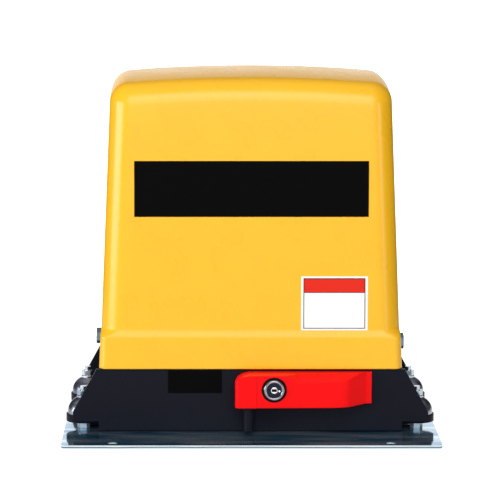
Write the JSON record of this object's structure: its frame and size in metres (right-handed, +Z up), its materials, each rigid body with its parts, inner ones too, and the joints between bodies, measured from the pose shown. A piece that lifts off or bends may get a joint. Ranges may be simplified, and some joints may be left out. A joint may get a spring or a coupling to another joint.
{
  "type": "sliding gate motor",
  "caption": "Sliding-gate motor: tall rounded cover on a black cast gearbox and flat base plate, hinged release handle with key lock, rear pinion driven by a worm gear.",
  "frame": {"origin": "centre of the base plate's underside, on the foundation it is bolted to", "axes": "+X right seen from the front, +Y to the rear where the pinion meets the gate's rack, +Z up"},
  "size_m": [0.342, 0.22, 0.331],
  "materials": {
    "zinc": "bright zinc",
    "black_casting": "semi-gloss black",
    "yellow_plastic": "glossy yellow",
    "red_plastic": "glossy red",
    "steel": "turned",
    "chrome": "polished",
    "dark_metal": "dark satin",
    "bronze": "machined",
    "rubber": "matte",
    "alloy": "as cast",
    "iron": "matte",
    "carbon": "matte",
    "battery_black": "matte",
    "board_green": "solder mask",
    "terminal_green": "matte",
    "relay_blue": "matte"
  },
  "bodies": {
    "base": {"base_plate": "zinc", "mounting_studs": "zinc", "levelling_nuts": "zinc", "lug_washers": "zinc", "dished_washers": "zinc", "clamp_nuts": "zinc", "gearbox_housing": "black_casting", "gearbox_lid": "alloy", "lid_screws": "steel", "front_bearing": "steel", "rear_bearing": "steel", "shaft_seal": "rubber", "worm_lower_bearing": "steel", "worm_upper_bearing": "steel", "motor_flange": "alloy", "motor_can": "dark_metal", "motor_magnets": "iron", "motor_brushes": "carbon", "motor_end_cap": "alloy", "motor_screws": "steel", "battery": "battery_black", "battery_terminals": "steel", "board_bracket": "steel", "control_board": "board_green", "board_spacers": "bronze", "terminal_blocks": "terminal_green", "relays": "relay_blue", "capacitors": "battery_black", "heat_sink": "alloy", "cover": "yellow_plastic", "cover_gasket": "rubber", "cover_screws": "dark_metal", "lock_keeper": "steel"},
    "handle": {"release_handle": "red_plastic", "release_shaft": "steel", "release_cam": "steel", "lock_barrel": "chrome", "lock_gasket": "rubber"},
    "lock": {"lock_plug": "dark_metal", "lock_tongue": "steel"},
    "rod": {"release_rod": "steel"},
    "clutch": {"drive_pin": "steel"},
    "output": {"output_shaft": "steel", "worm_wheel": "bronze", "drive_pinion": "steel", "pinion_key": "steel", "shaft_circlips": "steel", "shaft_spacer": "steel", "clutch_spring": "steel"},
    "rotor": {"worm_shaft": "steel", "armature": "iron", "commutator": "bronze"}
  },
  "joints": [
    {"name": "handle_swing", "type": "hinge", "parent": "base", "child": "handle", "pos_m": [-0.002, -0.066, 0.044], "axis": [0, 0, -1], "range_deg": [0, 90]},
    {"name": "lock_turn", "type": "hinge", "parent": "handle", "child": "lock", "pos_m": [0.0209, -0.0765, 0.0463], "axis": [0, 1, 0], "range_deg": [0, 90]},
    {"name": "rod_slide", "type": "slide", "parent": "base", "child": "rod", "axis": [0, 1, 0], "range_m": [0, 0.0051]},
    {"name": "rotor_spin", "type": "hinge", "parent": "base", "child": "rotor", "pos_m": [0.037, 0.02, 0.042], "axis": [0, 0, 1], "continuous": true},
    {"name": "output_spin", "type": "hinge", "parent": "base", "child": "output", "pos_m": [-0.002, 0.02, 0.042], "axis": [0, 1, 0], "continuous": true},
    {"name": "clutch_slide", "type": "slide", "parent": "output", "child": "clutch", "axis": [0, 1, 0], "range_m": [0, 0.0051], "deforming": ["clutch_spring"]}
  ],
  "couplings": [
    {"joint": "rod_slide", "follows": "handle_swing", "m_per_rad": 0.003246},
    {"joint": "clutch_slide", "follows": "handle_swing", "m_per_rad": 0.003246},
    {"joint": "output_spin", "follows": "rotor_spin", "ratio": 0.033333}
  ]
}
